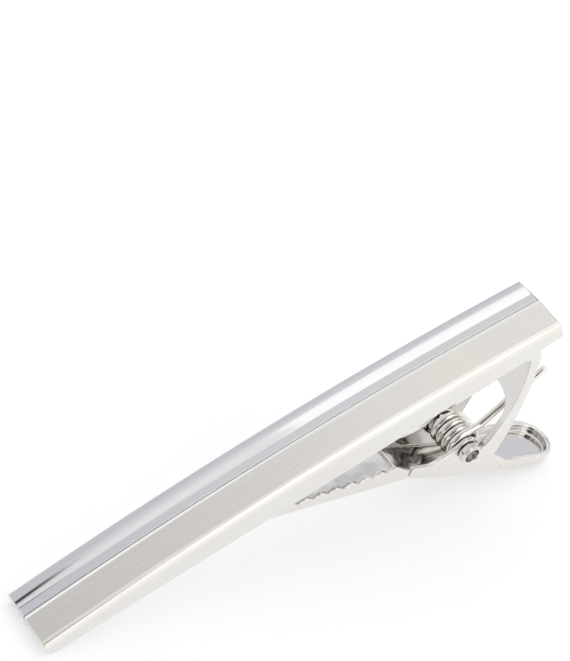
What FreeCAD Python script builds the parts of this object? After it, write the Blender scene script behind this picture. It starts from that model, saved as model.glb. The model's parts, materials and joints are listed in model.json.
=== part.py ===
"""Tie clip: a crowned plated bar with a sprung pinch clasp on its back.

The clip is drawn in the frame of the bar (x from the left tip along the bar, y across it from its middle
line towards the back edge, z up from the flat underside), then laid down as it rests on a table, on the
bar's left tip and the thumb tail of the lever. Millimetres.
"""
import FreeCAD, Part
import math
import os

V = FreeCAD.Vector

# Bar
BAR_LENGTH = 58.0
BAR_WIDTH = 7.1
BAR_END_HEIGHT = 1.95      # height of the brushed land at both ends
BAR_CROWN = 1.38           # rise of the top from the ends to the middle
BAR_END_ROUND = 0.9        # lower edge of both ends
LAND_EDGE_ROUND = 0.35     # front edge of the brushed land
LAND_WIDTH = 3.85          # from the front side to the step
STEP_DEPTH = 0.12
FACET_WIDTH = 1.2          # polished facet behind the step
FACET_DROP = 0.14
STRIP_WIDTH = 1.0          # level polished strip
BEVEL_DROP = 0.16          # polished bevel down to the back edge

# Hinge bracket, soldered to the underside near the right end
BRACKET_INSET = 0.25       # from the long sides of the bar
BASE_THICKNESS = 0.8
BASE_LENGTH = 9.0
LEG_FROM_END = 2.35        # right end of the bar to the back of the leg
LEG_THICKNESS = 1.35       # at the top of the leg
LEG_TOP_BEND = 1.2
LEG_BOW = 0.75             # how far the leg bulges from its chord
LEG_HOLLOW = 1.2           # how far its other side is hollowed
TOE_LENGTH = 2.45          # from the eye to the heel of the leg, along the bar
TOE_DROP = 1.05            # heel of the leg below the eye
TOE_BOW = 0.6              # bulge of the edge between them
EYE_WALL = 0.35
TINE_WIDTH = 0.75
SLOT_REACH = 6.8           # from the pivot to the top of the slot between the tines

# Hinge pin
PIVOT_FROM_END = 11.5
PIVOT_DROP = 10.4          # below the underside
PIN_RADIUS = 0.8
PIN_HEAD_RADIUS = 1.05
PIN_HEAD_HEIGHT = 0.12
PIN_CUP_RADIUS = 0.85      # hollow in each head
PIN_CUP_DEPTH = 0.35
PIN_RUNNING_FIT = 0.05     # radial, in the ears of the lever

# Jaw lever, pressed from sheet
SHEET = 0.5
EAR_CLEARANCE = 0.1        # between the ears and the tines, each side
EAR_RADIUS = 1.4
FLOOR_ANGLE = 34.8         # slope of the tail, down from the bar
FLOOR_DEPTH = 3.6          # pivot to the outside of the floor
TAIL_REACH = 14.6          # pivot to the end of the tail
TAIL_FLARE = 0.15          # tail wider than the ears, each side
FLARE_START = 4.5          # pivot to where the tail widens
FLARE_END = 7.5
TAIL_RIM = 1.25            # height of the rim round the tail
RIM_START = 6.6            # pivot to where the ear has come down to the rim
NECK_REACH = 7.6           # pivot to the end of the floor, inside the jaw
NECK_RISE = 0.87           # floor at that end above the floor at the tail
SHELF_START = 6.4          # pivot to the front end of the ear walls
SHELF_END = 4.2            # pivot to where the ear walls start to rise
SHELF_HEIGHT = 2.03        # upper edge there above the outside of the floor
EAR_SWEEP = 0.34           # hollow of the curve from there to the ear
EAR_FRONT = 143.0          # angles from the tail, where the ear's round starts
EAR_BACK = 17.0            # and ends
BEND_ROUND = 0.4           # outer bend between the floor and the walls
INNER_BEND = 0.25          # the same bend inside the channel
JAW_FLARE = 0.1            # jaw wider than the ears, each side
JAW_REACH = 22.7           # pivot to the jaw's tip, along the bar
JAW_REST_GAP = 0.08        # tip to the underside when closed
JAW_ROOT = V(-8.0, 0, 4.55)    # back end of the tooth line, from the pivot
JAW_HEEL = V(-7.2, 0, 1.4)     # lower back corner, from the pivot
JAW_BACK = V(0.6, 0, 1.2)      # from there up the back edge
JAW_TIP_DEPTH = 1.3        # lower front corner under the tooth line
JAW_TIP_LEAN = 1.0         # and behind the tip
JAW_CORNER = 0.8
TOOTH_PITCH = 1.85
TOOTH_DEPTH = 0.6
TOOTH_LEAN = 0.55          # share of the pitch from a peak to the valley behind it

# Torsion spring round the pin
WIRE = 0.68
COIL_RADIUS = 1.68         # to the middle of the wire
COIL_TURNS = 2
COIL_SEAT = V(0.3, 0, -0.36)   # the coil hangs loosely on the pin
COIL_END_GAP = 0.08        # coil to the ears, each side
COIL_PLAY = 0.16           # and as much more at the back, where it is free to slide
UPPER_LEG_ANGLE = -5.0     # upper leg, up from the bar's direction
UPPER_LEG_LENGTH = 1.75    # from the coil to the kink
KINK_ANGLE = 23.0
KINK_RADIUS = 1.5
UPPER_TIP_LENGTH = 8.4     # from the kink through the slot
LOWER_LEG_SPREAD = 15.0    # lower leg, steeper than the tail's floor
LEG_SEAT_GAP = 0.06        # lower leg's tip to the floor

# Places that follow from the sizes above
PIVOT = V(BAR_LENGTH - PIVOT_FROM_END, 0, -PIVOT_DROP)
BRACKET_WIDTH = BAR_WIDTH - 2 * BRACKET_INSET
SLOT_WIDTH = BRACKET_WIDTH - 2 * TINE_WIDTH
LEVER_WIDTH = SLOT_WIDTH - 2 * EAR_CLEARANCE
TAIL_WIDTH = LEVER_WIDTH + 2 * TAIL_FLARE
JAW_WIDTH = LEVER_WIDTH + 2 * JAW_FLARE
COIL_FRONT = LEVER_WIDTH / 2 - SHEET - COIL_END_GAP
COIL_LENGTH = 2 * COIL_FRONT - COIL_PLAY
EYE_RADIUS = PIN_RADIUS + EYE_WALL
PAST = PIVOT_DROP + TAIL_REACH     # cutting shapes run past the pieces by this
TAIL_DIRECTION = V(math.cos(math.radians(FLOOR_ANGLE)), 0, -math.sin(math.radians(FLOOR_ANGLE)))
TAIL_NORMAL = V(-TAIL_DIRECTION.z, 0, TAIL_DIRECTION.x)
ACROSS = V(0, 1, 0)
TOLERANCE = 1e-6
CUT_TOLERANCE = 1e-4       # where rounded cutting shapes meet rounded walls


def at_lever(along, above):
    """A point of the lever's side view, along the tail from the pivot and above it square to the tail."""
    return PIVOT + TAIL_DIRECTION * along + TAIL_NORMAL * above


def line(a, b):
    return Part.LineSegment(a, b).toShape()


def arc(a, middle, b):
    return Part.Arc(a, middle, b).toShape()


def bowed(a, b, bow):
    """An arc from a to b that bulges by bow to the left of the way from a to b, seen from the front."""
    way = (b - a).normalize()
    left = V(-way.z, 0, way.x)
    return arc(a, (a + b) * 0.5 + left * bow, b)


def round_about(centre, radius, start, end):
    """An arc in the side view between two angles in degrees, counted from +x towards +z."""
    def point(angle):
        turn = math.radians(angle)
        return centre + V(math.cos(turn), 0, math.sin(turn)) * radius
    return arc(point(start), point((start + end) / 2), point(end))


def slab(edges, width):
    """A side view drawn out across the bar, evenly about its middle line."""
    face = Part.Face(Part.Wire(Part.__sortEdges__(edges)))
    face.translate(V(0, -width / 2, 0))
    return face.extrude(V(0, width, 0))


def polygon(points):
    return [line(a, b) for a, b in zip(points, points[1:] + points[:1])]


def cylinder_across(centre, radius, width):
    return Part.makeCylinder(radius, width, centre - ACROSS * (width / 2), ACROSS)


def make_bar():
    """The top's section is carried round the crown's centre and trimmed to the flat-bottomed blank."""
    half = BAR_LENGTH / 2
    crown_radius = (half ** 2 + BAR_CROWN ** 2) / (2 * BAR_CROWN)
    top = BAR_END_HEIGHT + BAR_CROWN
    front = -BAR_WIDTH / 2
    back = BAR_WIDTH / 2
    step = front + LAND_WIDTH
    facet_end = step + FACET_WIDTH
    strip_end = facet_end + STRIP_WIDTH
    level = top - STEP_DEPTH - FACET_DROP
    spare = BAR_END_ROUND
    corner = V(half, front + LAND_EDGE_ROUND, top - LAND_EDGE_ROUND)
    slant = math.sqrt(0.5) * LAND_EDGE_ROUND
    outline = [
        V(half, front + LAND_EDGE_ROUND, top),
        V(half, step, top),
        V(half, step, top - STEP_DEPTH),
        V(half, facet_end, level),
        V(half, strip_end, level),
        V(half, back, level - BEVEL_DROP),
        V(half, back, -spare),
        V(half, front, -spare),
        V(half, front, top - LAND_EDGE_ROUND),
    ]
    edges = [line(a, b) for a, b in zip(outline, outline[1:])]
    edges.append(arc(outline[-1], corner + V(0, -slant, slant), outline[0]))
    section = Part.Face(Part.Wire(edges))
    centre = V(half, 0, top - crown_radius)
    swing = math.degrees(math.asin((half + spare) / crown_radius))
    section.rotate(centre, ACROSS, -swing)
    crowned = section.revolve(centre, ACROSS, 2 * swing)
    blank = Part.makeBox(BAR_LENGTH, BAR_WIDTH, 2 * top, V(0, front, 0))
    end_edges = [e for e in blank.Edges if abs(e.CenterOfMass.z) < TOLERANCE and abs(e.CenterOfMass.y) < TOLERANCE]
    blank = blank.makeFillet(BAR_END_ROUND, end_edges)
    return crowned.common(blank)


def make_bracket():
    """A bent strip: base on the underside, bowed leg, and a slot that leaves two tines with eyes."""
    leg_back = BAR_LENGTH - LEG_FROM_END
    base_end = V(leg_back - LEG_TOP_BEND - BASE_LENGTH, 0, 0)
    bend_start = V(leg_back - LEG_TOP_BEND, 0, 0)
    bend_end = V(leg_back, 0, -LEG_TOP_BEND)
    bend_centre = V(leg_back - LEG_TOP_BEND, 0, -LEG_TOP_BEND)
    heel = PIVOT + V(TOE_LENGTH, 0, -EYE_RADIUS - TOE_DROP)
    eye_bottom = PIVOT + V(0, 0, -EYE_RADIUS)
    eye_right = PIVOT + V(EYE_RADIUS, 0, 0)
    inner_top = V(leg_back - LEG_THICKNESS, 0, -LEG_TOP_BEND)
    inner_base = V(leg_back - LEG_THICKNESS - LEG_TOP_BEND / 2, 0, -BASE_THICKNESS)
    edges = [
        line(base_end, bend_start),
        round_about(bend_centre, LEG_TOP_BEND, 90, 0),
        bowed(bend_end, heel, LEG_BOW),
        bowed(heel, eye_bottom, TOE_BOW),
        round_about(PIVOT, EYE_RADIUS, -90, -360),
        bowed(eye_right, inner_top, -LEG_HOLLOW),
        line(inner_top, inner_base),
        line(inner_base, base_end + V(0, 0, -BASE_THICKNESS)),
        line(base_end + V(0, 0, -BASE_THICKNESS), base_end),
    ]
    strip = slab(edges, BRACKET_WIDTH)
    up_leg = (inner_top - eye_right).normalize()
    through = V(up_leg.z, 0, -up_leg.x)
    half_slot = SLOT_WIDTH / 2
    slot_centre = PIVOT + up_leg * (SLOT_REACH - half_slot)
    start = slot_centre - through * PAST
    round_end = Part.makeCylinder(half_slot, 2 * PAST, start, through)
    below = -up_leg * PAST
    corners = [start - ACROSS * half_slot, start + ACROSS * half_slot]
    flat = Part.Face(Part.makePolygon(corners + [corners[1] + below, corners[0] + below, corners[0]]))
    slot = flat.extrude(through * (2 * PAST)).fuse(round_end)
    return strip.cut(slot).cut(cylinder_across(PIVOT, PIN_RADIUS, BAR_WIDTH))


def make_pin():
    """A rivet with a low cupped head outside each eye."""
    half = BRACKET_WIDTH / 2
    end = half + PIN_HEAD_HEIGHT
    bottom = end - PIN_CUP_DEPTH
    bowl = (PIN_CUP_RADIUS ** 2 + PIN_CUP_DEPTH ** 2) / (2 * PIN_CUP_DEPTH)
    lean = math.asin(PIN_CUP_RADIUS / bowl) / 2
    bowl_middle = V(0, bottom + bowl - bowl * math.cos(lean), bowl * math.sin(lean))

    def mirrored(p):
        return V(p.x, -p.y, p.z)

    rim = V(0, half, PIN_HEAD_RADIUS)
    neck = V(0, half, PIN_RADIUS)
    face = V(0, end, PIN_HEAD_RADIUS)
    lip = V(0, end, PIN_CUP_RADIUS)
    pole = V(0, bottom, 0)
    edges = [
        line(mirrored(pole), pole),
        arc(pole, bowl_middle, lip),
        line(lip, face),
        line(face, rim),
        line(rim, neck),
        line(neck, mirrored(neck)),
        line(mirrored(neck), mirrored(rim)),
        line(mirrored(rim), mirrored(face)),
        line(mirrored(face), mirrored(lip)),
        arc(mirrored(lip), mirrored(bowl_middle), mirrored(pole)),
    ]
    pin = Part.Face(Part.Wire(edges)).revolve(V(0, 0, 0), ACROSS, 360)
    pin.translate(PIVOT)
    return pin


def plan_prism(inset):
    """The lever's plan seen square to the tail, all its sides moved in by inset: it widens to a round tail."""
    low = -PAST
    narrow = ACROSS * (LEVER_WIDTH / 2 - inset)
    wide = ACROSS * (TAIL_WIDTH / 2 - inset)
    left = at_lever(-PAST, low)
    flare = at_lever(FLARE_START, low)
    full = at_lever(FLARE_END, low)
    turn = at_lever(TAIL_REACH - TAIL_WIDTH / 2, low)
    edges = [
        line(left - narrow, flare - narrow),
        line(flare - narrow, full - wide),
        line(full - wide, turn - wide),
        arc(turn - wide, at_lever(TAIL_REACH - inset, low), turn + wide),
        line(turn + wide, full + wide),
        line(full + wide, flare + narrow),
        line(flare + narrow, left + narrow),
        line(left + narrow, left - narrow),
    ]
    return Part.Face(Part.Wire(edges)).extrude(TAIL_NORMAL * (2 * PAST))


def floor_height(along):
    """Outside of the floor, square to the tail from the pivot: level, then rising towards the neck."""
    return -FLOOR_DEPTH + NECK_RISE * (min(along, 0) / NECK_REACH) ** 2


def floor_line(lift):
    """The floor from the tail's end to the neck, raised by lift."""
    tail = at_lever(TAIL_REACH, floor_height(TAIL_REACH) + lift)
    turn = at_lever(0, floor_height(0) + lift)
    sweep = at_lever(-NECK_REACH / 2, floor_height(-NECK_REACH / 2) + lift)
    neck = at_lever(-NECK_REACH, floor_height(-NECK_REACH) + lift)
    return [line(tail, turn), arc(turn, sweep, neck)], tail, neck


def ear_point(angle):
    turn = math.radians(angle)
    return at_lever(EAR_RADIUS * math.cos(turn), EAR_RADIUS * math.sin(turn))


def make_ears_and_tail():
    """Channel with ear walls at the pivot that come down to a low rim round a spoon-shaped tail."""
    floor, tail, neck = floor_line(0)
    rim_end = tail + TAIL_NORMAL * TAIL_RIM
    rim_start = at_lever(RIM_START, -FLOOR_DEPTH + TAIL_RIM)
    neck_top = neck + TAIL_NORMAL * SHEET
    shelf_foot = at_lever(-SHELF_START, floor_height(-SHELF_START) + SHEET)
    shelf_start = at_lever(-SHELF_START, -FLOOR_DEPTH + SHELF_HEIGHT)
    shelf_end = at_lever(-SHELF_END, -FLOOR_DEPTH + SHELF_HEIGHT)
    edges = floor + [
        line(neck, neck_top),
        line(neck_top, shelf_foot),
        line(shelf_foot, shelf_start),
        line(shelf_start, shelf_end),
        bowed(shelf_end, ear_point(EAR_FRONT), -EAR_SWEEP),
        arc(ear_point(EAR_FRONT), ear_point((EAR_FRONT + EAR_BACK) / 2), ear_point(EAR_BACK)),
        line(ear_point(EAR_BACK), rim_start),
        line(rim_start, rim_end),
        line(rim_end, tail),
    ]
    outer = slab(edges, TAIL_WIDTH).common(plan_prism(0))
    outer = outer.makeFillet(BEND_ROUND, [e for e in outer.Edges if on_floor(e, 0)])
    inside, inner_tail, inner_neck = floor_line(SHEET)
    high = TAIL_NORMAL * PAST
    edges = inside + [
        line(inner_neck, inner_neck + high),
        line(inner_neck + high, inner_tail + high),
        line(inner_tail + high, inner_tail),
    ]
    hollow = slab(edges, TAIL_WIDTH).common(plan_prism(SHEET))
    hollow = hollow.makeFillet(INNER_BEND, [e for e in hollow.Edges if on_floor(e, SHEET)])
    return outer.cut(hollow, CUT_TOLERANCE)


def on_floor(edge, lift):
    """Whether an edge of the lever runs along the outside of its floor, raised by lift."""
    first, last = edge.ParameterRange
    points = [edge.valueAt(first + (last - first) * share) - PIVOT for share in (0.1, 0.5, 0.9)]
    if abs(points[0].y + points[2].y) < TOLERANCE and edge.Curve.TypeId == "Part::GeomLine":
        return False
    near = BEND_ROUND / 5
    return all(abs(p.dot(TAIL_NORMAL) - floor_height(p.dot(TAIL_DIRECTION)) - lift) < near for p in points)


def trough(start, way, width, bend):
    """A long block with rounded lower edges: its bottom runs from start along way, and it is open-ended upwards."""
    rise = V(-way.z, 0, way.x)
    side = ACROSS * (width / 2)
    bend_in = ACROSS * bend
    slant = (bend_in + rise * bend) * (1 - math.sqrt(0.5))
    mirror_slant = (rise * bend - bend_in) * (1 - math.sqrt(0.5))
    high = rise * PAST
    edges = [
        line(start - side + high, start - side + rise * bend),
        arc(start - side + rise * bend, start - side + slant, start - side + bend_in),
        line(start - side + bend_in, start + side - bend_in),
        arc(start + side - bend_in, start + side + mirror_slant, start + side + rise * bend),
        line(start + side + rise * bend, start + side + high),
        line(start + side + high, start - side + high),
    ]
    return Part.Face(Part.Wire(edges)).extrude(way * (2 * PAST))


def make_jaw():
    """Wider channel in front of the neck, with saw teeth along the upper edges of both walls."""
    tip = V(PIVOT.x - JAW_REACH, 0, -JAW_REST_GAP)
    root = PIVOT + JAW_ROOT
    heel = PIVOT + JAW_HEEL
    teeth = max(2, round((root - tip).Length / TOOTH_PITCH))
    pitch = (root - tip).Length / teeth
    way = (root - tip).normalize()
    down = V(way.z, 0, -way.x)
    chin = tip + way * JAW_TIP_LEAN + down * JAW_TIP_DEPTH
    crest = []
    for tooth in range(teeth):
        crest.append(tip + way * (tooth * pitch))
        crest.append(tip + way * ((tooth + TOOTH_LEAN) * pitch) + down * TOOTH_DEPTH)
    crest.append(root)
    outer = slab(polygon(crest + [heel + JAW_BACK, heel, chin]), JAW_WIDTH)
    corners = [e for e in outer.Edges if min((e.CenterOfMass - p).Length for p in (heel, chin)) < TOLERANCE]
    outer = outer.makeFillet(JAW_CORNER, corners)
    bottom = (heel - chin).normalize()
    rise = V(-bottom.z, 0, bottom.x)
    outer = outer.common(trough(chin - bottom * PAST, bottom, JAW_WIDTH, BEND_ROUND))
    return outer.cut(trough(chin + (rise + bottom) * SHEET, bottom, JAW_WIDTH - 2 * SHEET, INNER_BEND))


def make_lever():
    lever = make_ears_and_tail().fuse(make_jaw()).removeSplitter()
    return lever.cut(cylinder_across(PIVOT, PIN_RADIUS + PIN_RUNNING_FIT, BAR_WIDTH))


def biarc(start, start_way, end, end_way):
    """Two arcs that leave start along start_way, meet smoothly, and reach end along end_way."""
    span = end - start
    both = start_way + end_way
    spread = 1 - start_way.dot(end_way)
    reach = span.dot(both)
    length = (math.sqrt(reach ** 2 + 2 * spread * span.dot(span)) - reach) / (2 * spread)
    first = start + start_way * length
    second = end - end_way * length
    joint = (first + second) * 0.5

    def rounded(a, corner, b):
        middle = (a + b) * 0.5
        height = (corner - middle).Length
        half_chord = (b - a).Length / 2
        radius = length * half_chord / height
        sagitta = radius - math.sqrt(radius ** 2 - half_chord ** 2)
        return Part.Arc(a, middle + (corner - middle) * (sagitta / height), b)

    return [rounded(start, first, joint), rounded(joint, second, end)]


def spring_path():
    """Upper leg with its kink, the coil from front to back, and the lower leg."""
    upper_heading = math.radians(180 + UPPER_LEG_ANGLE)
    lower_heading = math.radians(360 - FLOOR_ANGLE - LOWER_LEG_SPREAD)
    sweep = lower_heading - upper_heading + COIL_TURNS * 2 * math.pi
    ease = math.pi / 2
    advance = COIL_LENGTH - WIRE
    rate = advance / (sweep - ease)
    front = WIRE / 2 - COIL_FRONT

    def coil_point(turned):
        """Place and direction on the coil; its advance starts and ends gently over a quarter turn."""
        heading = upper_heading + turned
        lead = min(turned, ease) ** 2 / (2 * ease) + max(turned - ease, 0)
        late = max(turned - (sweep - ease), 0) ** 2 / (2 * ease)
        speed = rate * min(turned / ease, 1, (sweep - turned) / ease)
        place = V(math.sin(heading), 0, -math.cos(heading)) * COIL_RADIUS
        way = V(math.cos(heading) * COIL_RADIUS, speed, math.sin(heading) * COIL_RADIUS)
        return PIVOT + COIL_SEAT + place + ACROSS * (front + rate * (lead - late)), way.normalize()

    quarters = math.ceil(sweep / (math.pi / 2))
    stations = [coil_point(sweep * n / quarters) for n in range(quarters + 1)]
    coil_start, start_way = stations[0]
    coil_end, end_way = stations[-1]
    tip_angle = math.radians(UPPER_LEG_ANGLE + KINK_ANGLE)
    tip_way = V(math.cos(tip_angle), 0, math.sin(tip_angle))
    kink = coil_start - start_way * UPPER_LEG_LENGTH
    trim = KINK_RADIUS * math.tan(math.radians(KINK_ANGLE) / 2)
    tip = kink + tip_way * UPPER_TIP_LENGTH
    kink_in = kink + tip_way * trim
    kink_out = kink + start_way * trim
    curves = [Part.LineSegment(tip, kink_in)]
    curves += biarc(kink_in, -tip_way, kink_out, start_way)
    curves.append(Part.LineSegment(kink_out, coil_start))
    for (a, way_a), (b, way_b) in zip(stations, stations[1:]):
        curves += biarc(a, way_a, b, way_b)
    height = (coil_end - PIVOT).dot(TAIL_NORMAL) + FLOOR_DEPTH - SHEET - WIRE / 2 - LEG_SEAT_GAP
    lower_length = height / math.sin(math.radians(LOWER_LEG_SPREAD)) - WIRE
    curves.append(Part.LineSegment(coil_end, coil_end + end_way * lower_length))
    return Part.Wire([curve.toShape() for curve in curves])


def least_gap(path):
    """The least clear distance between stretches of the wire that aren't neighbours along it."""
    points = path.discretize(Distance=WIRE / 6)
    step = path.Length / (len(points) - 1)
    apart = math.ceil(COIL_RADIUS * math.pi / step)
    gaps = [(a - b).Length for n, a in enumerate(points) for b in points[n + apart:]]
    return min(gaps) - WIRE


def make_spring():
    path = spring_path()
    start = path.Edges[0].valueAt(path.Edges[0].FirstParameter)
    way = path.Edges[0].tangentAt(path.Edges[0].FirstParameter)
    ring = Part.Wire(Part.Circle(start, way, WIRE / 2).toShape())
    print(f"spring: wire {path.Length:.1f} mm long, least gap to itself {least_gap(path):.3f} mm")
    return path.makePipeShell([ring], True, False)


def resting_slope():
    """Angle in degrees of the table under the bar's left tip and the tail, seen in the bar's frame."""
    left = V(BAR_END_ROUND, 0, BAR_END_ROUND)
    tail = at_lever(TAIL_REACH, -FLOOR_DEPTH)
    way = tail - left
    along = math.atan2(way.z, way.x)
    return math.degrees(along + math.asin(BAR_END_ROUND / way.Length))


def lay_down(shapes):
    """Turns the clip onto the table and moves the origin under the middle of its outline."""
    slope = resting_slope()
    for shape in shapes.values():
        shape.rotate(V(0, 0, 0), ACROSS, slope)
    box = Part.makeCompound(list(shapes.values())).optimalBoundingBox(False)
    shift = V(-box.Center.x, 0, -box.ZMin)
    for shape in shapes.values():
        shape.translate(shift)
    pivot = FreeCAD.Rotation(ACROSS, slope).multVec(PIVOT) + shift
    print(f"table slope {slope:.3f} degrees, pivot {pivot.x:.4f} {pivot.y:.4f} {pivot.z:.4f}")
    print(f"outline {box.XLength:.2f} x {box.YLength:.2f} x {box.ZLength:.2f} mm")


def main():
    shapes = {
        "tie_bar": make_bar(),
        "hinge_bracket": make_bracket(),
        "hinge_pin": make_pin(),
        "jaw_lever": make_lever(),
        "torsion_spring": make_spring(),
    }
    lay_down(shapes)
    os.makedirs("parts", exist_ok=True)
    for name, shape in shapes.items():
        print(f"{name}: {len(shape.Solids)} solid, {shape.Volume:.2f} mm3, valid {shape.isValid()}")
        shape.exportStep(f"parts/{name}.step")


main()
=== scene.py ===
"""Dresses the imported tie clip: brushed and polished bar, pressed clasp, coil spring, and the studio round it.

Shapes are worked out in the bar's frame in millimetres: x from the left tip along the bar, y across it from
its middle line to the back edge, z up from its flat underside. They are then laid on the table where the
packed clip lies.
"""
import json
import math
import bmesh
import bpy
import numpy as np
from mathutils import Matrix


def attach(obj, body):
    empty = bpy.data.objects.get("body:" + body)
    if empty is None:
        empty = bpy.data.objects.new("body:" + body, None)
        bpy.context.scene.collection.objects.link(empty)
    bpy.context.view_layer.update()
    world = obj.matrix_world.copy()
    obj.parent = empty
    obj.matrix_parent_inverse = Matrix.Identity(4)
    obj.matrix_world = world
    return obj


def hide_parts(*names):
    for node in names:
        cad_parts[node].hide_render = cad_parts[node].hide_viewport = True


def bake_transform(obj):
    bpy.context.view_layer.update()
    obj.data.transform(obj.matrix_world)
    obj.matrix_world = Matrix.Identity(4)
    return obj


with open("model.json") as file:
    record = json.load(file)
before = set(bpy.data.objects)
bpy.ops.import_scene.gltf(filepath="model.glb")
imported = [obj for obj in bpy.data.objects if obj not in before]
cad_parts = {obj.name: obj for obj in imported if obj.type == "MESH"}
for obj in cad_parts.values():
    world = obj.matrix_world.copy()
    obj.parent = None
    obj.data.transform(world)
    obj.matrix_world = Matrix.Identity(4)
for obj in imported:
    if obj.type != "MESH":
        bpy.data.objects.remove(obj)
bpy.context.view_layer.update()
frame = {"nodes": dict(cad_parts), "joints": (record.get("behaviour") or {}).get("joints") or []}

MM = 0.001
PIVOT = np.array([46.5, 0.0, -10.4])       # hinge of the clasp, in the bar's frame
TABLE_SLOPE = math.radians(-21.274)        # lean of the bar as the clip lies on the table
HINGE_PLACE = np.array(frame["joints"][0]["pos_m"])

# Bar
BAR_LENGTH = 58.0
BAR_WIDTH = 7.1
BAR_END_HEIGHT = 1.95
BAR_CROWN = 1.38
LEFT_END_ROUND = 0.9       # lower edges of the ends
RIGHT_END_ROUND = 0.45
END_EDGE_ROUND = 0.13      # upper edges of both ends
LAND_EDGE_ROUND = 0.6
LAND_WIDTH = 3.85
LAND_CHAMFER = 0.3         # bright line along the step: across
LAND_CHAMFER_DROP = 0.08   # and down
STEP_DEPTH = 0.12
FACET_WIDTH = 1.2
FACET_DROP = 0.14
STRIP_WIDTH = 1.0
BEVEL_DROP = 0.16
FACET_EDGE_ROUND = 2.0     # soft edge between facet and strip
BEVEL_ROUND = 9.0          # the strip bows over into the back bevel
GROOVE_FLOOR = 0.18        # fine groove at the foot of the step: flat floor
GROOVE_WIDTH = 0.22        # whole width, with the slope behind the floor
GROOVE_DEPTH = 0.04
STEP_ROUND = 0.02
BACK_EDGE_ROUND = 0.08
LOWER_EDGE_ROUND = 0.12
STATION = 0.6              # spacing of the bar's sections
STATION_DIGITS = 6         # sections whose places agree to this many digits are one
SUPPORT = 0.03             # points beside each rounded edge that keep the flats flat
ARC_STEPS = 5
# the front edge's finish is paler than the land to paint a broad highlight along it; its smoother roughness is
# its own
# the groove floor's finish is a dark plating that paints the shade in the narrow groove at the step
# the side's finish is a paler copy of the land's plating: painted light that the front wall takes from the
# floor
BRUSHED_LAND, POLISHED, SIDE_PAINTED_PALER, GROOVE_PAINTED_SHADE, EDGE_PAINTED_HIGHLIGHT = range(5)    # order of the bar's finishes

# Clasp
LEVER_EDGE_ROUND = 0.14    # cut edges of the pressed sheet
BRACKET_EDGE_ROUND = 0.14
ROUND_SEGMENTS = 3
MERGE_REACH = 0.0001       # points this near to each other are one
FLAT_TURN = math.radians(0.5)     # faces that turn by less are one
SHARP_TURN = math.radians(35)     # edges that turn by more are cut edges
FOLD_AGREEMENT = 0.1       # smallest cosine between shading and face normal before a face counts as folded
FOLD_AREA = 0.001          # smallest face that counts as folded, in square mm
FOLD_REACH = 0.4           # edges this near to a fold stay crisp
ROUND_TRIALS = 24          # most times that edges near folds are taken out
PIN_RADIUS = 0.8
PIN_HEAD_RADIUS = 1.05
PIN_HEAD_HEIGHT = 0.12
PIN_CUP_DEPTH = 0.75
PIN_LIP_ROUND = 0.125      # rolled lip round the cup
BOWL_RINGS = 12
BOWL_MIDDLE = 0.02         # share of the bowl that its flat middle takes
BOWL_MARGIN = 0.001        # the bowl's finish ends this far inside the lip
BRACKET_WIDTH = 6.6
PIN_SIDES = 48
SHEET = 0.5
FLOOR_ANGLE = 34.8         # slope of the tail, down from the bar
FLOOR_DEPTH = 3.6          # pivot to the tail's floor
TAIL_REACH = 14.6          # pivot to the tail's end
TAIL_WIDTH = 5.2
TAIL_RIM = 1.25            # height of the rim over the floor
RIM_BEAD = 0.32            # radius of the rolled bead on the tail's rim
BEAD_SEAT = 0.14           # middle of the bead below the top of the rim
BEAD_START = 6.4           # pivot to the ends of the bead, which dip into the wall
BEAD_LEAD = 2.2            # length of each dip
BEAD_DIP = 0.6             # and its depth
BEAD_SIDE_POINTS = 24
BEAD_END_POINTS = 41
TAIL_NORMAL = np.array([math.sin(math.radians(FLOOR_ANGLE)), 0.0, math.cos(math.radians(FLOOR_ANGLE))])
ACROSS = np.array([0.0, 1.0, 0.0])

# Spring
WIRE = 0.78                # a little fuller than the solid's, so that the turns lie close
COIL_RADIUS = 1.68
COIL_TURNS = 3
COIL_LENGTH = 3.58
COIL_FRONT = -1.87         # front end of the coil
COIL_SEAT = np.array([0.3, 0.0, -0.36])    # the coil hangs loosely on the pin
UPPER_LEG_ANGLE = -5.0     # slope of the upper leg, in degrees
UPPER_LEG_LENGTH = 1.75
KINK_ANGLE = 23.0          # turn between the upper leg and its tip
KINK_TRIM = 0.3            # rounding of that turn, along both straights
UPPER_TIP_LENGTH = 8.4
LOWER_LEG_SPREAD = 15.0    # slope of the lower leg against the tail's floor
LOWER_LEG_LENGTH = 3.0
TURN_STEPS = 56
TIP_POINTS = 12
KINK_POINTS = 9
LEG_POINTS = 24
WIRE_SIDES = 18
DOME_SHARE = 0.9           # the domes over the wire's ends stop short of a point

# Finishes
NOISE_LOW, NOISE_HIGH = 0.3, 0.7           # most of a noise lies between these
PLATING_WARMTH = "#EBE5DA"
WARM_SHARE = 0.5           # share of the warm tone in the plating's clouds
# paler grain mixed into the dark plating that paints shade in the groove and the rivet cups
SHADE_GRAIN = "#B9B2AA"

# Floor and lamp, with sizes and places in metres
FLOOR_REACH = 1.5          # middle of the card to its edges
CARD_COLOUR = "#F4F4F4"
CARD_ROUGHNESS = 0.9
CARD_LIFT = 0.28           # glow that brings the card up to white
BACK_LIFT = 0.14           # its glow where it is reflected behind the clip
FRONT_TO_BACK = (-0.005, 0.02)             # y over which the one passes into the other
SOFTBOX_SIZE = (0.9, 0.6)
SOFTBOX_PLACE = (0.39, 0.2, 0.6)
SOFTBOX_BRIGHTNESS = 0.25

# Studio walls
WHITE = (1.0, 1.0, 1.0, 1.0)
GAP_GREY = "#DADAE1"
BEYOND_GREY = "#DEDEE7"
OPENING_BROWN = "#2A211A"
ROOM_LEVEL = 0.82          # brightness of the plain walls, where 1 is white

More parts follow.
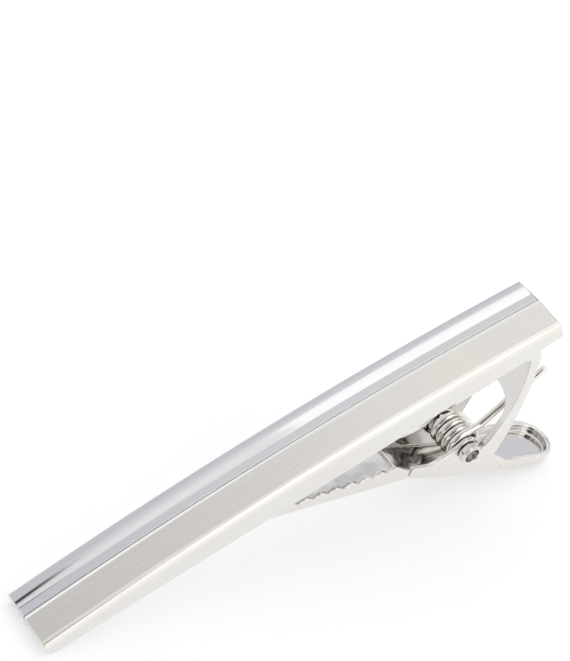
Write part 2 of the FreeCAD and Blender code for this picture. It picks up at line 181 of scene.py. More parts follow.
# Smooth steps on the walls along a direction: low, high, value at low, value at high
LEFT_X = (-0.85, -0.35, 0.75, 1.0)         # dimmer to the left
SWEEP_Z = (0.45, 0.56, 1.2, 1.0)           # brighter low down
BEHIND_Y = (0.2, 0.45, 0.0, 1.0)
GAP_FOOT_Z = (0.50, 0.60, 0.0, 1.0)        # grey gap behind, under the softbox
GAP_TOP_Z = (0.64, 0.83, 1.0, 0.0)
BEYOND_X = (0.5, 0.62, 0.0, 1.0)           # grey behind, beyond the right end
OPENING_ASIDE = (0.2, 0.3, 1.0, 0.0)       # dark opening where the camera stands
OPENING_AHEAD = (0.2, 0.4, 0.0, 1.0)
OPENING_TOP_Z = (0.76, 0.82, 1.0, 0.0)
SEAM_X = (-0.32, -0.26, 1.0, 0.0)          # dark seam behind, on the left
SEAM_FOOT_Z = (0.69, 0.71, 0.0, 1.0)
SEAM_TOP_Z = (0.73, 0.75, 1.0, 0.0)
FRONT_CARD_Y = (-0.45, -0.25, 0.55, 0.0)   # bright card in front
FRONT_CARD_X = (0.16, 0.3, 1.0, 0.0)
FRONT_CARD_FOOT_Z = (0.28, 0.40, 0.0, 1.0)

# Camera, in the bar's frame
PHOTO_LONG_SIDE = 661
FOCAL_PIXELS = 2776.0
CAMERA_PLACE = np.array([-26.1, -134.65, 217.8])
CAMERA_FORWARD = np.array([0.2333, 0.5477, -0.8035])
CAMERA_UP = np.array([0.5029, 0.6393, 0.5817])


def turned(directions):
    """Directions of the bar's frame, turned about y by the table's slope."""
    directions = np.asarray(directions, float)
    x, y, z = directions[..., 0], directions[..., 1], directions[..., 2]
    cosine, sine = math.cos(TABLE_SLOPE), math.sin(TABLE_SLOPE)
    return np.stack([x * cosine + z * sine, y, z * cosine - x * sine], axis=-1)


def on_table(points):
    """Points of the bar's frame in mm, turned with the table and moved to put the pivot on the hinge."""
    return turned(np.asarray(points, float) - PIVOT) * MM + HINGE_PLACE


def rounded_outline(corners):
    """A closed outline whose corners (across, up, radius) become arcs.

    An arc's points are its centre plus the sine-weighted mix of its two end arms. On both sides of an arc
    one more point lies on the flat.
    """
    places = np.array([(across, up) for across, up, radius in corners])
    radii = np.array([radius for across, up, radius in corners])
    before = np.roll(places, 1, axis=0) - places
    after = np.roll(places, -1, axis=0) - places
    before /= np.linalg.norm(before, axis=1, keepdims=True)
    after /= np.linalg.norm(after, axis=1, keepdims=True)
    half = np.arccos(np.clip((before * after).sum(1), -1, 1)) / 2
    trim = (radii / np.tan(half))[:, None]
    inward = before + after
    inward /= np.linalg.norm(inward, axis=1, keepdims=True)
    centre = places + inward * (radii / np.sin(half))[:, None]
    first = places + before * trim - centre
    last = places + after * trim - centre
    sweep = (math.pi - 2 * half)[:, None, None]
    share = np.linspace(0, 1, ARC_STEPS + 1)[None, :, None]
    mix = np.sin((1 - share) * sweep) * first[:, None] + np.sin(share * sweep) * last[:, None]
    arcs = centre[:, None] + mix / np.sin(sweep)
    lead_in = (places + before * (trim + SUPPORT))[:, None]
    lead_out = (places + after * (trim + SUPPORT))[:, None]
    return np.concatenate([lead_in, arcs, lead_out], axis=1).reshape(-1, 2)


def carried_piece(name, rings, along, around, materials, band=None):
    """A closed mesh from rings[station, point]: quads between neighbouring rings, a flat cap at each end.

    along and around are the UV distances in mm of the stations and of the ring's points. band picks a
    material for each stretch of the ring or, as a column, for each stretch along the piece; the caps take
    its ends. The rings run backwards where the quads would face inwards.
    """
    stations, points = rings.shape[:2]
    following = np.roll(rings, -1, axis=1)
    a, b, c = rings[:-1], following[:-1], rings[1:]
    middle = rings.reshape(-1, 3).mean(0)
    if (np.cross(b - a, c - a) * (a - middle)).sum() < 0:
        rings, around = rings[:, ::-1], around[::-1]
        band = None if band is None else np.roll(band[..., ::-1], -1, axis=-1)
    station = np.arange(stations - 1)[:, None]
    point = np.arange(points)[None, :]
    point_next = (point + 1) % points
    corners = [(station, point), (station, point_next), (station + 1, point_next), (station + 1, point)]
    quads = np.stack([s * points + p for s, p in corners], axis=-1).reshape(-1, 4)
    first_cap = np.arange(points)[::-1]
    last_cap = np.arange(points) + (stations - 1) * points
    mesh = bpy.data.meshes.new(name)
    mesh.from_pydata(rings.reshape(-1, 3), [], quads.tolist() + [first_cap.tolist(), last_cap.tolist()])
    full_turn = np.append(around, around[-1] + (around[-1] - around[-2]))
    u = np.stack(np.broadcast_arrays(*[along[s] + 0 * p for s, p in corners]), axis=-1)
    v = np.stack([0 * station + full_turn[p] for p in (point, point + 1, point + 1, point)], axis=-1)
    side = np.stack([u, v], axis=-1).reshape(-1, 2)
    caps = np.stack([np.zeros(2 * points), np.concatenate([around[::-1], around])], axis=-1)
    mesh.uv_layers.new(name="surface_mm").uv.foreach_set("vector", np.concatenate([side, caps]).ravel())
    smooth = np.ones(len(quads) + 2, bool)
    smooth[-2:] = False
    mesh.polygons.foreach_set("use_smooth", smooth)
    for material in materials:
        mesh.materials.append(material)
    if band is not None:
        filled = np.broadcast_to(band, (stations - 1, points)).ravel()
        index = np.append(filled, [filled[0], filled[-1]]).astype(np.int32)
        mesh.polygons.foreach_set("material_index", index)
    mesh.update()
    piece = bpy.data.objects.new(name, mesh)
    bpy.context.scene.collection.objects.link(piece)
    return piece


def bar_rings():
    """The bar's section, its upper part following the crown's circle and its lower part the flat underside.

    Near the ends the underside rises on a quarter circle. Over the last stretch the whole section draws in
    along its normals by a quarter circle, which rounds the upper edges of the ends.
    """
    half = BAR_LENGTH / 2
    top = BAR_END_HEIGHT + BAR_CROWN
    crown_radius = (half ** 2 + BAR_CROWN ** 2) / (2 * BAR_CROWN)
    front, back = -BAR_WIDTH / 2, BAR_WIDTH / 2
    step = front + LAND_WIDTH
    level = top - STEP_DEPTH - FACET_DROP
    foot = top - STEP_DEPTH - FACET_DROP * GROOVE_WIDTH / FACET_WIDTH
    outline = rounded_outline([
        (front, top, LAND_EDGE_ROUND),
        (step - LAND_CHAMFER, top, STEP_ROUND),
        (step, top - LAND_CHAMFER_DROP, STEP_ROUND),
        (step, foot - GROOVE_DEPTH, STEP_ROUND),
        (step + GROOVE_FLOOR, foot - GROOVE_DEPTH, STEP_ROUND),
        (step + GROOVE_WIDTH, foot, STEP_ROUND),
        (step + FACET_WIDTH, level, FACET_EDGE_ROUND),
        (step + FACET_WIDTH + STRIP_WIDTH, level, BEVEL_ROUND),
        (back, level - BEVEL_DROP, BACK_EDGE_ROUND),
        (back, 0, LOWER_EDGE_ROUND),
        (front, 0, LOWER_EDGE_ROUND),
    ])
    turn = np.linspace(0, math.pi / 2, 2 * ARC_STEPS + 1)
    rounds = np.array([END_EDGE_ROUND, LEFT_END_ROUND, RIGHT_END_ROUND])
    ends = np.outer(rounds, 1 - np.sin(turn)).ravel()
    middle = np.linspace(LEFT_END_ROUND, BAR_LENGTH - LEFT_END_ROUND, round(BAR_LENGTH / STATION))
    x = np.unique(np.concatenate([ends, middle, BAR_LENGTH - ends]).round(STATION_DIGITS))
    from_end = np.minimum(x, BAR_LENGTH - x)[:, None]
    end_round = np.where(x < half, LEFT_END_ROUND, RIGHT_END_ROUND)[:, None]
    across, up = outline[:, 0][None], outline[:, 1][None]
    crowned = top - crown_radius + np.sqrt((crown_radius - top + up) ** 2 - (x[:, None] - half) ** 2)
    rise = end_round - np.sqrt(end_round ** 2 - np.clip(end_round - from_end, 0, None) ** 2)
    z = np.where(up > top / 2, crowned, up + rise)
    y = across + 0 * z
    run_y = np.roll(y, -1, axis=1) - np.roll(y, 1, axis=1)
    run_z = np.roll(z, -1, axis=1) - np.roll(z, 1, axis=1)
    length = np.hypot(run_y, run_z)
    within = np.clip(END_EDGE_ROUND - from_end, 0, None)
    inset = END_EDGE_ROUND - np.sqrt(END_EDGE_ROUND ** 2 - within ** 2)
    y, z = y - inset * run_z / -length, z + inset * run_y / -length
    rings = np.stack([x[:, None] + 0 * y, y, z], axis=-1)
    around = np.concatenate([[0], np.cumsum(np.hypot(*np.diff(outline, axis=0).T))])
    middle_y = (outline + np.roll(outline, -1, axis=0))[:, 0] / 2
    middle_z = (outline + np.roll(outline, -1, axis=0))[:, 1] / 2
    satin = (middle_y < step - LAND_CHAMFER - STEP_ROUND) & (middle_z > LOWER_EDGE_ROUND)
    # the front wall below the edge takes the paler side finish, which paints the light it takes from the floor
    # in front
    side = satin & (middle_z < top - LAND_EDGE_ROUND)
    in_groove = (np.abs(middle_y - step - GROOVE_FLOOR / 2) < GROOVE_FLOOR / 2) & (middle_z > top / 2)
    # the groove's floor takes a darker finish: painted shade in the crevice
    seam = in_groove & (middle_z < foot - GROOVE_DEPTH / 2)
    # the front edge round takes a paler tone: a painted highlight, on a smoother finish that is its own
    edge = (middle_y < front + LAND_EDGE_ROUND) & (middle_z > top - LAND_EDGE_ROUND)
    finishes = [SIDE_PAINTED_PALER, EDGE_PAINTED_HIGHLIGHT, BRUSHED_LAND, GROOVE_PAINTED_SHADE]
    return rings, x, around, np.select([side, edge, satin, seam], finishes, POLISHED)


def pin_rings():
    """A profile (radius, across) of shank and cupped heads, turned about the pivot's axis.

    Each head is a shallow bowl inside a rolled lip, whose section is half a circle.
    """
    half = BRACKET_WIDTH / 2
    cup = PIN_HEAD_RADIUS - 2 * PIN_LIP_ROUND
    lip_level = PIN_HEAD_HEIGHT - PIN_LIP_ROUND
    depth = PIN_CUP_DEPTH - PIN_LIP_ROUND
    bowl = (cup ** 2 + depth ** 2) / (2 * depth)
    lean = np.linspace(BOWL_MIDDLE, 1, BOWL_RINGS, endpoint=False) * math.asin(cup / bowl)
    turn = np.linspace(0, math.pi, 2 * ARC_STEPS + 1)
    bowl_across = lip_level - depth + bowl * (1 - np.cos(lean))
    head_radius = np.concatenate([bowl * np.sin(lean), cup + PIN_LIP_ROUND * (1 - np.cos(turn))])
    head_across = np.concatenate([bowl_across, lip_level + PIN_LIP_ROUND * np.sin(turn)])
    radius = np.concatenate([head_radius, [PIN_RADIUS, PIN_RADIUS], head_radius[::-1]])
    across = np.concatenate([half + head_across, [half, -half], -half - head_across[::-1]])
    angle = np.linspace(0, 2 * math.pi, PIN_SIDES, endpoint=False)[None]
    x = PIVOT[0] + radius[:, None] * np.cos(angle)
    z = PIVOT[2] + radius[:, None] * np.sin(angle)
    along = np.concatenate([[0], np.cumsum(np.hypot(np.diff(radius), np.diff(across)))])
    rings = np.stack([x, PIVOT[1] + across[:, None] + 0 * x, z], axis=-1)
    # the bowl's faces take the second, dark finish: painted shade inside the cup
    hollow = np.minimum(radius[:-1], radius[1:]) < cup - BOWL_MARGIN
    return rings, along, angle[0] * PIN_HEAD_RADIUS, hollow[:, None].astype(int)


def spring_line():
    """The wire's middle line: straight tip, rounded kink, upper leg, close coil, lower leg.

    The coil is a helix whose advance across eases in and out over a quarter turn. The kink is a quadratic
    curve between the two straights.
    """
    upper = math.radians(180 + UPPER_LEG_ANGLE)
    lower = math.radians(360 - FLOOR_ANGLE - LOWER_LEG_SPREAD)
    sweep = lower - upper + COIL_TURNS * 2 * math.pi
    ease = math.pi / 2
    advance = COIL_LENGTH - WIRE
    turned_by = np.linspace(0, sweep, round(sweep / (2 * math.pi) * TURN_STEPS))
    heading = upper + turned_by
    lead = np.minimum(turned_by, ease) ** 2 / (2 * ease) + np.maximum(turned_by - ease, 0)
    late = np.maximum(turned_by - (sweep - ease), 0) ** 2 / (2 * ease)
    across = COIL_FRONT + WIRE / 2 + advance / (sweep - ease) * (lead - late)
    circle = np.stack([COIL_RADIUS * np.sin(heading), across, -COIL_RADIUS * np.cos(heading)], axis=-1)
    coil = PIVOT + COIL_SEAT + circle
    leg_way = np.array([math.cos(upper), 0, math.sin(upper)])
    tip_angle = math.radians(UPPER_LEG_ANGLE + KINK_ANGLE)
    tip_way = np.array([math.cos(tip_angle), 0, math.sin(tip_angle)])
    kink = coil[0] - leg_way * UPPER_LEG_LENGTH
    bend = np.linspace(0, 1, KINK_POINTS)[:, None]
    kink_in, kink_out = kink + tip_way * KINK_TRIM, kink + leg_way * KINK_TRIM
    kink_arc = (1 - bend) ** 2 * kink_in + 2 * bend * (1 - bend) * kink + bend ** 2 * kink_out
    from_kink = np.linspace(UPPER_TIP_LENGTH - KINK_TRIM, 0, TIP_POINTS, endpoint=False)[:, None]
    tip = kink_in + from_kink * tip_way
    leg = kink_out + np.linspace(0, 1, LEG_POINTS, endpoint=False)[1:, None] * (coil[0] - kink_out)
    end_way = np.array([math.cos(lower), 0, math.sin(lower)])
    tail = coil[-1] + np.linspace(0, LOWER_LEG_LENGTH, LEG_POINTS)[1:, None] * end_way
    return np.concatenate([tip, kink_arc, leg, coil, tail])


def tube_rings(line, radius, level):
    """A circle square to a line at each of its points, drawn in to a dome over both ends.

    Each circle's first arm is square to the line and to the level direction.
    """
    way = np.gradient(line, axis=0)
    way /= np.linalg.norm(way, axis=1, keepdims=True)
    turn = np.linspace(math.pi / 2, 0, ARC_STEPS + 1)[:-1] * DOME_SHARE
    dome = radius * np.sin(turn)[:, None]
    line = np.concatenate([line[0] - way[0] * dome, line, line[-1] + way[-1] * dome[::-1]])
    way = np.concatenate([np.tile(way[0], (ARC_STEPS, 1)), way, np.tile(way[-1], (ARC_STEPS, 1))])
    reach = np.full(len(line), radius)
    reach[:ARC_STEPS] = radius * np.cos(turn)
    reach[-ARC_STEPS:] = radius * np.cos(turn[::-1])
    side = np.cross(way, level)
    side /= np.linalg.norm(side, axis=1, keepdims=True)
    other = np.cross(way, side)
    angle = np.linspace(0, 2 * math.pi, WIRE_SIDES, endpoint=False)[None, :, None]
    circle = np.cos(angle) * side[:, None] + np.sin(angle) * other[:, None]
    rings = line[:, None] + reach[:, None, None] * circle
    along = np.concatenate([[0], np.cumsum(np.linalg.norm(np.diff(line, axis=0), axis=1))])
    return rings, along, angle[0, :, 0] * radius


def bead_line():
    """The middle of the tail's rim: straight, a half circle round the end, straight again.

    Both ends dip into the wall by a smooth step, three squares less two cubes of the distance.
    """
    half = (TAIL_WIDTH - SHEET) / 2
    turn = TAIL_REACH - TAIL_WIDTH / 2
    straight = np.linspace(BEAD_START, turn, BEAD_SIDE_POINTS, endpoint=False)
    angle = np.linspace(-math.pi / 2, math.pi / 2, BEAD_END_POINTS)
    along = np.concatenate([straight, turn + half * np.cos(angle), straight[::-1]])
    across = np.concatenate([-half + 0 * straight, half * np.sin(angle), half + 0 * straight])
    start = np.clip((along - BEAD_START) / BEAD_LEAD, 0, 1)
    dip = BEAD_DIP * (1 - start * start * (3 - 2 * start))
    above = TAIL_RIM - FLOOR_DEPTH - BEAD_SEAT - dip
    slope = math.radians(FLOOR_ANGLE)
    x = PIVOT[0] + along * math.cos(slope) + above * math.sin(slope)
    z = PIVOT[2] - along * math.sin(slope) + above * math.cos(slope)
    return np.stack([x, PIVOT[1] + across, z], axis=-1)


def read(items, field, kind, width):
    """A field of all items of a mesh as one array with a row for each item."""
    values = np.zeros(len(items) * width, kind)
    items.foreach_get(field, values)
    return values.reshape(-1, width).squeeze()


def set_on_edges(mesh, name, kind, values):
    """Sets an attribute of all edges."""
    attribute = mesh.attributes.get(name) or mesh.attributes.new(name, kind, "EDGE")
    attribute.data.foreach_set("value", values)


def sharp_edges(mesh):
    """The middles of all edges, and marks for the sharp ones and for those of them that are outside edges.

    An edge is sharp where its two faces turn by more than SHARP_TURN, and outside where the cross product
    of their normals runs with the edge.
    """
    ends = read(mesh.edges, "vertices", np.int32, 2)
    place = read(mesh.vertices, "co", float, 3)
    edge = read(mesh.loops, "edge_index", np.int32, 1)
    sides = read(mesh.polygons, "loop_total", np.int32, 1)
    normal = np.repeat(read(mesh.polygons, "normal", float, 3), sides, axis=0)
    with_edge = read(mesh.loops, "vertex_index", np.int32, 1) == ends[edge, 0]
    left, right = np.zeros((2, len(ends), 3))
    left[edge[with_edge]] = normal[with_edge]
    right[edge[~with_edge]] = normal[~with_edge]
    way = place[ends[:, 1]] - place[ends[:, 0]]
    sharp = (left * right).sum(1) < math.cos(SHARP_TURN)
    outside = (np.cross(left, right) * way).sum(1) > 0
    return place[ends].mean(axis=1), sharp, sharp & outside


def folded_points(piece):
    """Corners of the faces that rounding has turned over.

    On such a face a shading normal turns away from the face's own normal.
    """
    bpy.context.view_layer.update()
    holder = piece.evaluated_get(bpy.context.evaluated_depsgraph_get())
    mesh = holder.to_mesh()
    sides = read(mesh.polygons, "loop_total", np.int32, 1)
    normal = np.repeat(read(mesh.polygons, "normal", float, 3), sides, axis=0)
    agreement = (read(mesh.corner_normals, "vector", float, 3) * normal).sum(1)
    lowest = np.minimum.reduceat(agreement, read(mesh.polygons, "loop_start", np.int32, 1))
    folded = (lowest < FOLD_AGREEMENT) & (read(mesh.polygons, "area", float, 1) > FOLD_AREA * MM ** 2)
    corner = read(mesh.loops, "vertex_index", np.int32, 1)[np.repeat(folded, sides)]
    points = read(mesh.vertices, "co", float, 3)[corner]
    holder.to_mesh_clear()
    return points


def pressed_copy(node, name, edge_round, material):
    """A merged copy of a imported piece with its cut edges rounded, except where rounding would fold over."""
    packed = frame["nodes"][node].data
    work = bmesh.new()
    work.from_mesh(packed)
    bmesh.ops.remove_doubles(work, verts=work.verts, dist=MERGE_REACH * MM)
    bmesh.ops.dissolve_limit(work, angle_limit=FLAT_TURN, verts=work.verts, edges=work.edges)
    work.verts.index_update()
    places = [vertex.co.copy() for vertex in work.verts]
    faces = [[vertex.index for vertex in face.verts] for face in work.faces]
    work.free()
    mesh = bpy.data.meshes.new(name)
    mesh.from_pydata(places, [], faces)
    mesh.polygons.foreach_set("use_smooth", np.ones(len(faces), bool))
    mesh.materials.append(material)
    mesh.update()
    piece = bpy.data.objects.new(name, mesh)
    bpy.context.scene.collection.objects.link(piece)
    bevel = piece.modifiers.new("cut_edges", "BEVEL")
    bevel.width = edge_round * MM
    bevel.segments = ROUND_SEGMENTS
    bevel.use_clamp_overlap = False
    bevel.limit_method = "WEIGHT"
    bevel.harden_normals = True
    middle, sharp, rounded = sharp_edges(mesh)
    for _ in range(ROUND_TRIALS):
        set_on_edges(mesh, "bevel_weight_edge", "FLOAT", rounded.astype(float))
        set_on_edges(mesh, "sharp_edge", "BOOLEAN", sharp & ~rounded)
        mesh.update()
        folds = folded_points(piece)
        if len(folds) == 0:
            break
        apart = np.linalg.norm(middle[:, None] - folds[None], axis=2).min(axis=1)
        rounded &= apart > FOLD_REACH * MM
    return piece


def linear(code):
    """An sRGB hex colour as linear red, green, blue and full alpha."""
    parts = np.array([int(code[n:n + 2], 16) for n in (1, 3, 5)]) / 255
    parts = np.where(parts <= 0.04045, parts / 12.92, ((parts + 0.055) / 1.055) ** 2.4)
    return (*parts.tolist(), 1.0)


def add(tree, kind, inputs=None, **settings):
    """Adds a node of a kind, sets its fields, and sets or links each input named or numbered."""
    made = tree.nodes.new(kind)
    for field, value in settings.items():
        setattr(made, field, value)
    for key, value in (inputs or {}).items():
        socket = made.inputs[key]
        if isinstance(value, bpy.types.NodeSocket):
            tree.links.new(value, socket)
        else:
            socket.default_value = value
    return made


def eased(tree, value, low, high, at_low, at_high):
    """A smooth step of a value from at_low to at_high between low and high."""
    step = add(tree, "ShaderNodeMapRange", {
        "Value": value, "From Min": low, "From Max": high, "To Min": at_low, "To Max": at_high},
        interpolation_type="SMOOTHSTEP")
    return step.outputs["Result"]


def calculated(tree, operation, *values):
    """The result of a Math node for one or two values."""
    return add(tree, "ShaderNodeMath", dict(enumerate(values)), operation=operation).outputs[0]


def multiplied(tree, first, *others):
    """The product of values."""
    for other in others:
        first = calculated(tree, "MULTIPLY", first, other)
    return first


def mixed(tree, share, colour, other):
    """One colour passing into another as the share goes from 0 to 1."""
    return add(tree, "ShaderNodeMix", {0: share, 6: colour, 7: other}, data_type="RGBA").outputs[2]


def toward(tree, way, direction):
    """How far a direction that is looked in points along another."""
    dot = add(tree, "ShaderNodeVectorMath", {0: way, 1: direction.tolist()}, operation="DOT_PRODUCT")
    return dot.outputs["Value"]


def streaks(tree, length, width, detail, roughness=0.5):
    """Noise over the UV distances, drawn out into streaks of a length and a width in mm."""
    place = add(tree, "ShaderNodeTexCoord").outputs["UV"]
    drawn = add(tree, "ShaderNodeMapping", {"Vector": place, "Scale": (1 / length, 1 / width, 1)})
    noise = {"Vector": drawn.outputs["Vector"], "Scale": 1.0, "Detail": detail, "Roughness": roughness}
    return add(tree, "ShaderNodeTexNoise", noise, noise_dimensions="2D").outputs["Fac"]


def grains(tree, size, detail):
    """Noise in space with grains of a size in mm; Object coordinates are metres."""
    place = add(tree, "ShaderNodeTexCoord").outputs["Object"]
    noise = {"Vector": place, "Scale": 1 / (size * MM), "Detail": detail}
    return add(tree, "ShaderNodeTexNoise", noise).outputs["Fac"]


def roughened(tree, noise, smooth, coarse):
    """A roughness that follows a noise from smooth to coarse."""
    ranges = {"From Min": NOISE_LOW, "From Max": NOISE_HIGH, "To Min": smooth, "To Max": coarse}
    return add(tree, "ShaderNodeMapRange", {"Value": noise, **ranges}).outputs["Result"]


def bumped(tree, height, strength, depth):
    """A normal tilted by a height, whose whole range is a depth in mm."""
    bump = add(tree, "ShaderNodeBump", {"Height": height, "Strength": strength, "Distance": depth * MM})
    return bump.outputs["Normal"]


def new_material(name):
    """An empty material and its node tree."""
    material = bpy.data.materials.new(name)
    material.use_nodes = True
    material.node_tree.nodes.clear()
    return material, material.node_tree


def surface(tree, inputs):
    """Ends a material's tree with a Principled surface."""
    shader = add(tree, "ShaderNodeBsdfPrincipled", inputs)
    add(tree, "ShaderNodeOutputMaterial", {"Surface": shader.outputs["BSDF"]})


def brushed_plating(name, darker, paler, smooth, coarse):
    """Silver-tone plated brass, brushed lengthwise: fine streaks and a highlight spread across them."""
    material, tree = new_material(name)
    # brush lines are about 0.03 mm apart; drawn 0.12 mm apart and 18 mm long so that they show
    streak = streaks(tree, length=18, width=0.12, detail=3.0, roughness=0.6)
    # slow cloudiness of the plating, in patches of 9 mm by 5 mm
    cloud = streaks(tree, length=9, width=5, detail=1.0)
    tone = mixed(tree, streak, linear(darker), linear(paler))
    tangent = add(tree, "ShaderNodeTangent", direction_type="UV_MAP", uv_map="surface_mm")
    surface(tree, {
        "Base Color": mixed(tree, multiplied(tree, cloud, WARM_SHARE), tone, linear(PLATING_WARMTH)),
        "Metallic": 1.0,
        "Roughness": roughened(tree, streak, smooth, coarse),
        "Anisotropic": 0.5,
        "Anisotropic Rotation": 0.25,
        "Tangent": tangent.outputs["Tangent"],
        "Normal": bumped(tree, streak, strength=0.12, depth=0.02),
    })
    return material


def polished_plating():
    """The same plating, cut bright: a near mirror with a trace of lengthwise polishing marks."""
    material, tree = new_material("polished_silver_plating")
    # polishing marks of about 0.2 mm by 12 mm
    trace = streaks(tree, length=12, width=0.2, detail=2.0)
    surface(tree, {
        "Base Color": mixed(tree, trace, linear("#F1F1F3"), linear("#F9F9F8")),
        "Metallic": 1.0,
        "Roughness": roughened(tree, trace, smooth=0.05, coarse=0.10),
    })
    return material


def pressed_plating():
    """Bright plating on pressed sheet: a mirror broken by the slight waves of pressing and tumbling."""
    material, tree = new_material("bright_plated_sheet")
    # waves about 3 mm apart, and a fine grain of 0.25 mm
    wave = grains(tree, size=3, detail=1.0)
    grain = grains(tree, size=0.25, detail=2.0)
    surface(tree, {
        "Base Color": mixed(tree, grain, linear("#E2DFDA"), linear("#EEECE9")),
        "Metallic": 1.0,
        "Roughness": roughened(tree, grain, smooth=0.10, coarse=0.18),
        "Normal": bumped(tree, wave, strength=0.5, depth=0.25),
    })
    return material


def drawn_wire():
    """Drawn spring steel, plated: bright, with die lines along the wire."""
    material, tree = new_material("drawn_spring_wire")
    # die lines of about 0.1 mm by 6 mm
    trace = streaks(tree, length=6, width=0.1, detail=2.0)
    surface(tree, {
        "Base Color": mixed(tree, trace, linear("#EAE7E1"), linear("#F6F4F0")),
        "Metallic": 1.0,
        "Roughness": roughened(tree, trace, smooth=0.10, coarse=0.2),
    })
    return material


def shade_painted_plating(name, tone):
    """Plating darkened to paint the shade in a groove or a hollow: dull, with a paler brown-grey in fine
    grains.
    """
    material, tree = new_material(name)
    # grains of about 0.1 mm in the painted shade
    grain = grains(tree, size=0.1, detail=2.0)
    surface(tree, {
        "Base Color": mixed(tree, grain, linear(tone), linear(SHADE_GRAIN)),
        "Metallic": 1.0,
        "Roughness": roughened(tree, grain, smooth=0.25, coarse=0.4),
    })
    return material


def white_card():
    """Matt white card: lit like paper, and lifted to white where it is seen or, in front, reflected."""
    material, tree = new_material("white_card")
    path = add(tree, "ShaderNodeLightPath").outputs
    place = add(tree, "ShaderNodeTexCoord").outputs["Object"]
    across = add(tree, "ShaderNodeSeparateXYZ", {"Vector": place}).outputs["Y"]
    glow = eased(tree, across, *FRONT_TO_BACK, CARD_LIFT, BACK_LIFT)
    mirrored = multiplied(tree, path["Is Glossy Ray"], glow)
    seen = calculated(tree, "MAXIMUM", path["Is Camera Ray"], path["Is Transmission Ray"])
    direct = multiplied(tree, seen, CARD_LIFT)
    surface(tree, {
        "Base Color": linear(CARD_COLOUR),
        "Roughness": CARD_ROUGHNESS,
        "Specular IOR Level": 0.0,
        "Emission Color": WHITE,
        "Emission Strength": calculated(tree, "MAXIMUM", direct, mirrored),
    })
    return material


def studio_world():
    """White all round, dimmer to the left, brighter low down and on a card in front.

    Behind are a grey gap, a grey wall beyond the right end and a dark seam on the left; in front is a dark
    opening where the camera stands. Seen directly, all of it is white.
    """
    world = bpy.data.worlds.new("studio")
    world.use_nodes = True
    tree = world.node_tree
    tree.nodes.clear()
    way = add(tree, "ShaderNodeTexCoord").outputs["Generated"]
    x, y, z = add(tree, "ShaderNodeSeparateXYZ", {"Vector": way}).outputs
    behind = eased(tree, y, *BEHIND_Y)
    gap = multiplied(tree, eased(tree, z, *GAP_FOOT_Z), eased(tree, z, *GAP_TOP_Z), behind)
    walls = mixed(tree, gap, WHITE, linear(GAP_GREY))
    beyond = multiplied(tree, eased(tree, x, *BEYOND_X), behind)
    walls = mixed(tree, beyond, walls, linear(BEYOND_GREY))
    opening = turned(-CAMERA_FORWARD) * (1, 1, 0)
    opening /= np.linalg.norm(opening)
    ahead = toward(tree, way, opening)
    aside = calculated(tree, "ABSOLUTE", toward(tree, way, np.cross(opening, (0, 0, 1))))
    slit = multiplied(tree, eased(tree, aside, *OPENING_ASIDE), eased(tree, z, *OPENING_TOP_Z))
    slit = multiplied(tree, slit, eased(tree, ahead, *OPENING_AHEAD))
    seam = multiplied(tree, eased(tree, x, *SEAM_X), behind)
    seam = multiplied(tree, seam, eased(tree, z, *SEAM_FOOT_Z), eased(tree, z, *SEAM_TOP_Z))
    dark = calculated(tree, "MAXIMUM", slit, seam)
    room = mixed(tree, dark, walls, linear(OPENING_BROWN))
    from_middle = calculated(tree, "ABSOLUTE", x)
    card = multiplied(tree, eased(tree, y, *FRONT_CARD_Y), eased(tree, from_middle, *FRONT_CARD_X))
    card = multiplied(tree, card, eased(tree, z, *FRONT_CARD_FOOT_Z))
    front = calculated(tree, "ADD", card, ROOM_LEVEL)
    level = multiplied(tree, eased(tree, x, *LEFT_X), front, eased(tree, z, *SWEEP_Z))
    seen = add(tree, "ShaderNodeLightPath").outputs["Is Camera Ray"]
    shown = add(tree, "ShaderNodeMix", {0: seen, 2: level, 3: 1.0}, data_type="FLOAT").outputs[0]
    colour = mixed(tree, seen, room, WHITE)
    background = add(tree, "ShaderNodeBackground", {"Color": colour, "Strength": shown})
    add(tree, "ShaderNodeOutputWorld", {"Surface": background.outputs["Background"]})
    bpy.context.scene.world = world


def softbox():
    """One wide soft lamp overhead, to the right of the clip and a little behind it."""
    lamp = bpy.data.lights.new("softbox", "AREA")
    lamp.shape = "RECTANGLE"
    lamp.size, lamp.size_y = SOFTBOX_SIZE
    lamp.energy = math.pi * lamp.size * lamp.size_y * SOFTBOX_BRIGHTNESS
    holder = bpy.data.objects.new("softbox", lamp)
    holder.location = SOFTBOX_PLACE
    holder.visible_camera = False
    bpy.context.scene.collection.objects.link(holder)


def floor():
    """A flat square of white card under the clip."""
    corner = np.array([(-1, -1, 0), (1, -1, 0), (1, 1, 0), (-1, 1, 0)]) * FLOOR_REACH
    mesh = bpy.data.meshes.new("floor")
    mesh.from_pydata(corner, [], [(0, 1, 2, 3)])
    mesh.materials.append(white_card())
    card = bpy.data.objects.new("floor", mesh)
    bpy.context.scene.collection.objects.link(card)


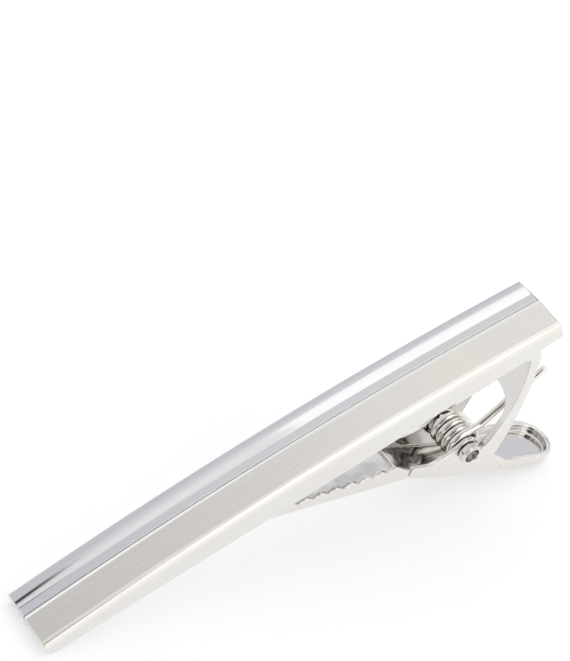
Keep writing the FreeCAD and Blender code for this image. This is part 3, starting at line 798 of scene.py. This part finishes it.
def camera():
    """The photograph's viewpoint; the long side of the picture spans the sensor's width."""
    lens = bpy.data.cameras.new("camera")
    lens.sensor_fit = "AUTO"
    lens.lens = lens.sensor_width * FOCAL_PIXELS / PHOTO_LONG_SIDE
    holder = bpy.data.objects.new("camera", lens)
    forward = turned(CAMERA_FORWARD)
    up = turned(CAMERA_UP)
    side = np.cross(forward, up)
    side /= np.linalg.norm(side)
    up = np.cross(side, forward)
    matrix = np.eye(4)
    matrix[:3, 0] = side
    matrix[:3, 1] = up
    matrix[:3, 2] = -forward / np.linalg.norm(forward)
    matrix[:3, 3] = on_table(CAMERA_PLACE)
    holder.matrix_world = matrix.T.tolist()
    bpy.context.scene.collection.objects.link(holder)
    bpy.context.scene.camera = holder


camera()
floor()
studio_world()
softbox()
bpy.context.scene.view_settings.view_transform = "Standard"

sheet_plating = pressed_plating()

bar_finishes = [
    brushed_plating("brushed_silver_plating", "#D0CECA", "#F4F2EE", smooth=0.30, coarse=0.42),
    polished_plating(),
    # paler copy of the brushed plating for the front wall: painted light from the floor in front
    brushed_plating("satin_silver_side_painted_light", "#E6E5E3", "#F3F3F2", smooth=0.30, coarse=0.42),
    # dark plating on the groove floor: painted shade in the crevice at the foot of the step
    shade_painted_plating("groove_painted_shade", "#A5A09A"),
    # front edge round: paler tone paints its highlight band; the lower roughness is the edge's own finish
    brushed_plating("front_edge_painted_highlight", "#F0EDE7", "#FBF9F4", smooth=0.22, coarse=0.30),
]
bar_shape, bar_along, bar_around, bar_band = bar_rings()
bar = carried_piece("bar", on_table(bar_shape), bar_along, bar_around, bar_finishes, bar_band)
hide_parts("tie_bar")
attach(bar, "bar")

bracket = pressed_copy("hinge_bracket", "bracket", BRACKET_EDGE_ROUND, sheet_plating)
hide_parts("hinge_bracket")
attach(bracket, "bar")

lever = pressed_copy("jaw_lever", "lever", LEVER_EDGE_ROUND, sheet_plating)
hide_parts("jaw_lever")
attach(lever, "lever")

pin_shape, pin_along, pin_around, pin_band = pin_rings()
# the bowls of the heads take a dark brown plating that paints the shade inside the cup
pin_finishes = [sheet_plating, shade_painted_plating("rivet_hollow_painted_shade", "#6B5F58")]
pin = carried_piece("pin", on_table(pin_shape), pin_along, pin_around, pin_finishes, pin_band)
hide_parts("hinge_pin")
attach(pin, "bar")

bead_shape, bead_along, bead_around = tube_rings(bead_line(), RIM_BEAD, TAIL_NORMAL)
bead = carried_piece("tail_bead", on_table(bead_shape), bead_along, bead_around, [sheet_plating])
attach(bead, "lever")

spring_shape, spring_along, spring_around = tube_rings(spring_line(), WIRE / 2, ACROSS)
spring = carried_piece("spring", on_table(spring_shape), spring_along, spring_around, [drawn_wire()])
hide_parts("torsion_spring")
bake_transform(spring)
